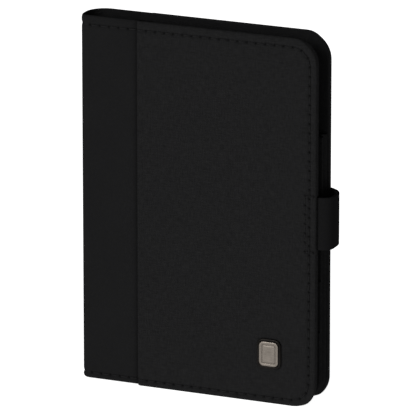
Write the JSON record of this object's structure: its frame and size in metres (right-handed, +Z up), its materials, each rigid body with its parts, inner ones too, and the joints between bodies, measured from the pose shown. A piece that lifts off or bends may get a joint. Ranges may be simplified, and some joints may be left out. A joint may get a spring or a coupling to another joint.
{
  "type": "passport holder wallet",
  "caption": "Book-shaped passport wallet with a smooth spine wrap, woven cover panels, inner passport pocket and card slots, and a snap strap round the fore-edge.",
  "frame": {"origin": "middle of the whole outline, on the surface that the lower edge stands on", "axes": "+Z up along the height, +X from the spine towards the fore-edge and the strap, -Y out of the front cover"},
  "size_m": [0.102, 0.0197, 0.144],
  "materials": {
    "woven_fabric": "fine melange weave, matt",
    "smooth_wrap": "smooth coated leather, satin",
    "lining_fabric": "plain woven lining, matt",
    "pocket_leather": "fine grained leather, satin",
    "foam_padding": "thin foam sheet",
    "grey_board": "raw paperboard",
    "snap_metal": "dark plated, satin",
    "bezel_metal": "dark bronze, satin",
    "plate_metal": "warm grey, satin brushed"
  },
  "bodies": {
    "back_cover": {"back_fabric_panel": "woven_fabric", "back_padding": "foam_padding", "back_board": "grey_board", "back_lining": "lining_fabric", "spine_wrap_back": "smooth_wrap", "passport_pocket_gusset": "pocket_leather", "passport_pocket_panel": "pocket_leather", "card_slot_upper": "pocket_leather", "card_slot_lower": "pocket_leather", "short_pocket": "pocket_leather", "snap_stud": "snap_metal", "snap_post": "snap_metal"},
    "spine": {"spine_wrap_middle": "smooth_wrap", "spine_lining": "lining_fabric"},
    "front_cover": {"front_fabric_panel": "woven_fabric", "front_padding": "foam_padding", "front_board": "grey_board", "front_lining": "lining_fabric", "front_slip_pocket": "pocket_leather", "spine_wrap_front": "smooth_wrap", "emblem_bezel": "bezel_metal", "emblem_plate": "plate_metal", "emblem_washer": "snap_metal", "strap_outer_root": "smooth_wrap", "strap_lining_root": "lining_fabric"},
    "strap_bend": {"strap_outer_bend": "smooth_wrap", "strap_lining_bend": "lining_fabric"},
    "strap_flap": {"strap_outer_flap": "smooth_wrap", "strap_lining_flap": "lining_fabric", "snap_cap": "snap_metal", "snap_socket": "snap_metal"}
  },
  "joints": [
    {"name": "spine_fold_back", "type": "hinge", "parent": "back_cover", "child": "spine", "pos_m": [-0.04905, 0.0035, 0.072], "axis": [0, 0, -1], "range_deg": [0, 90]},
    {"name": "spine_fold_front", "type": "hinge", "parent": "spine", "child": "front_cover", "pos_m": [-0.05001, -0.00746, 0.072], "axis": [0, 0, -1], "range_deg": [0, 90]},
    {"name": "strap_lift", "type": "hinge", "parent": "front_cover", "child": "strap_bend", "pos_m": [0.04965, -0.0065, 0.0727], "axis": [0, 0, -1], "range_deg": [0, 90]},
    {"name": "strap_straighten", "type": "hinge", "parent": "strap_bend", "child": "strap_flap", "pos_m": [0.04862, 0.00647, 0.0727], "axis": [0, 0, -1], "range_deg": [0, 90]}
  ],
  "couplings": [
    {"joint": "spine_fold_front", "follows": "spine_fold_back", "ratio": 1},
    {"joint": "strap_straighten", "follows": "strap_lift", "ratio": 1}
  ]
}
